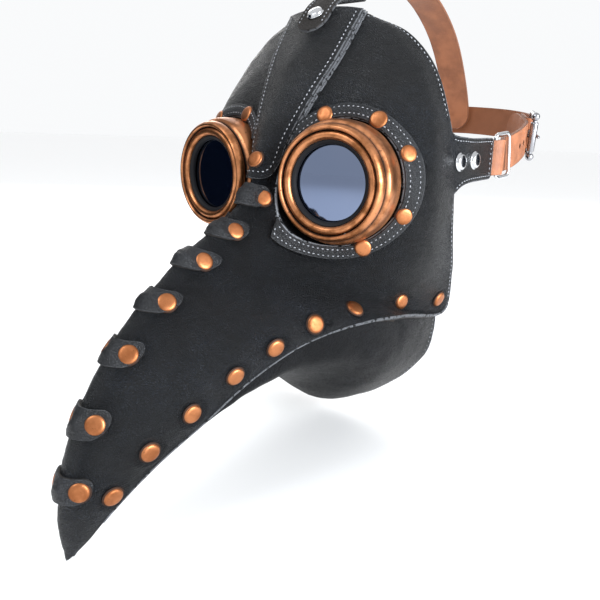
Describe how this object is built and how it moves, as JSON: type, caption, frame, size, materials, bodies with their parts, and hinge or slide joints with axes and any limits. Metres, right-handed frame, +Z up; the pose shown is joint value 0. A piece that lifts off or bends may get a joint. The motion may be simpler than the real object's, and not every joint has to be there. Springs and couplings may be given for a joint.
{
  "type": "plague doctor mask",
  "caption": "Long-beaked black leather face mask with round copper-rimmed goggles, riveted seams and a buckled tan leather head harness.",
  "frame": {"origin": "middle of the wearer's head opening at eye height, 65 mm behind the front plane of the goggles and on the mask's plane of symmetry", "axes": "+Z up on the wearer's head, the mask faces -Y, +X is the wearer's left"},
  "size_m": [0.1598, 0.3606, 0.273],
  "materials": {
    "face_leather": "pebbled black leather, semi-gloss, worn grey on high spots",
    "chin_leather": "finer-grained black leather, satin",
    "antique_copper": "antique copper plate, satin, darkened in the grooves",
    "black_rubber": "matte",
    "blackened_metal": "blackened, satin",
    "lens_glass": "dark tinted glossy glass",
    "tan_leather": "tan vegetable-tanned leather, satin, creased at the folds",
    "chrome_wire": "polished, lightly worn"
  },
  "bodies": {
    "root": {"face_leather": "face_leather", "chin_panel": "chin_leather", "beak_tip": "chin_leather", "forehead_strip": "face_leather", "nose_band": "face_leather", "ridge_band_1": "face_leather", "ridge_band_2": "face_leather", "ridge_band_3": "face_leather", "ridge_band_4": "face_leather", "ridge_band_5": "face_leather", "ridge_band_6": "face_leather", "goggle_flange_left": "face_leather", "goggle_flange_right": "face_leather", "goggle_collar_left": "antique_copper", "goggle_collar_right": "antique_copper", "goggle_rim_left": "antique_copper", "goggle_rim_right": "antique_copper", "goggle_bezel_left": "antique_copper", "goggle_bezel_right": "antique_copper", "lens_gasket_left": "black_rubber", "lens_gasket_right": "black_rubber", "lens_retainer_left": "blackened_metal", "lens_retainer_right": "blackened_metal", "lens_left": "lens_glass", "lens_right": "lens_glass", "side_strap_left": "tan_leather", "side_strap_right": "tan_leather", "rear_strap": "tan_leather", "crown_strap": "tan_leather", "seam_rivet_1_left": "antique_copper", "seam_rivet_1_right": "antique_copper", "seam_rivet_2_left": "antique_copper", "seam_rivet_2_right": "antique_copper", "seam_rivet_3_left": "antique_copper", "seam_rivet_3_right": "antique_copper", "seam_rivet_4_left": "antique_copper", "seam_rivet_4_right": "antique_copper", "seam_rivet_5_left": "antique_copper", "seam_rivet_5_right": "antique_copper", "seam_rivet_6_left": "antique_copper", "seam_rivet_6_right": "antique_copper", "seam_rivet_7_left": "antique_copper", "seam_rivet_7_right": "antique_copper", "seam_rivet_8_left": "antique_copper", "seam_rivet_8_right": "antique_copper", "seam_rivet_9_left": "antique_copper", "seam_rivet_9_right": "antique_copper", "tab_rivet_front_left": "chrome_wire", "tab_rivet_front_right": "chrome_wire", "tab_rivet_rear_left": "chrome_wire", "tab_rivet_rear_right": "chrome_wire"},
    "strap_loop_left": {"strap_loop_left": "chrome_wire"},
    "buckle_frame_left": {"buckle_frame_left": "chrome_wire"},
    "buckle_prong_left": {"buckle_prong_left": "chrome_wire"},
    "buckle_roller_left": {"buckle_roller_left": "chrome_wire"},
    "strap_loop_right": {"strap_loop_right": "chrome_wire"},
    "buckle_frame_right": {"buckle_frame_right": "chrome_wire"},
    "buckle_prong_right": {"buckle_prong_right": "chrome_wire"},
    "buckle_roller_right": {"buckle_roller_right": "chrome_wire"},
    "crown_loop": {"crown_loop": "chrome_wire"}
  },
  "joints": [
    {"name": "strap_loop_swing_left", "type": "hinge", "parent": "root", "child": "strap_loop_left", "pos_m": [0.0748, 0.0575, 0.0138], "axis": [0.0381, 0.14, -0.9894], "range_deg": [0, 50]},
    {"name": "buckle_swing_left", "type": "hinge", "parent": "root", "child": "buckle_frame_left", "pos_m": [0.0686, 0.133, 0.0295], "axis": [0.0891, -0.1718, 0.9811], "range_deg": [0, 45]},
    {"name": "prong_swing_left", "type": "hinge", "parent": "buckle_frame_left", "child": "buckle_prong_left", "pos_m": [0.0686, 0.133, 0.0295], "axis": [0.0891, -0.1718, 0.9811], "range_deg": [0, 80]},
    {"name": "roller_spin_left", "type": "hinge", "parent": "buckle_frame_left", "child": "buckle_roller_left", "pos_m": [0.0756, 0.1195, 0.0265], "axis": [0.0891, -0.1718, 0.9811], "continuous": true},
    {"name": "strap_loop_swing_right", "type": "hinge", "parent": "root", "child": "strap_loop_right", "pos_m": [-0.0748, 0.0575, 0.0138], "axis": [0.0381, -0.14, 0.9894], "range_deg": [0, 50]},
    {"name": "buckle_swing_right", "type": "hinge", "parent": "root", "child": "buckle_frame_right", "pos_m": [-0.0686, 0.133, 0.0295], "axis": [0.0891, 0.1718, -0.9811], "range_deg": [0, 45]},
    {"name": "prong_swing_right", "type": "hinge", "parent": "buckle_frame_right", "child": "buckle_prong_right", "pos_m": [-0.0686, 0.133, 0.0295], "axis": [0.0891, 0.1718, -0.9811], "range_deg": [0, 80]},
    {"name": "roller_spin_right", "type": "hinge", "parent": "buckle_frame_right", "child": "buckle_roller_right", "pos_m": [-0.0756, 0.1195, 0.0265], "axis": [0.0891, 0.1718, -0.9811], "continuous": true},
    {"name": "crown_loop_swing", "type": "hinge", "parent": "root", "child": "crown_loop", "pos_m": [0, 0.017, 0.1049], "axis": [1, 0, 0], "range_deg": [0, 60]}
  ]
}
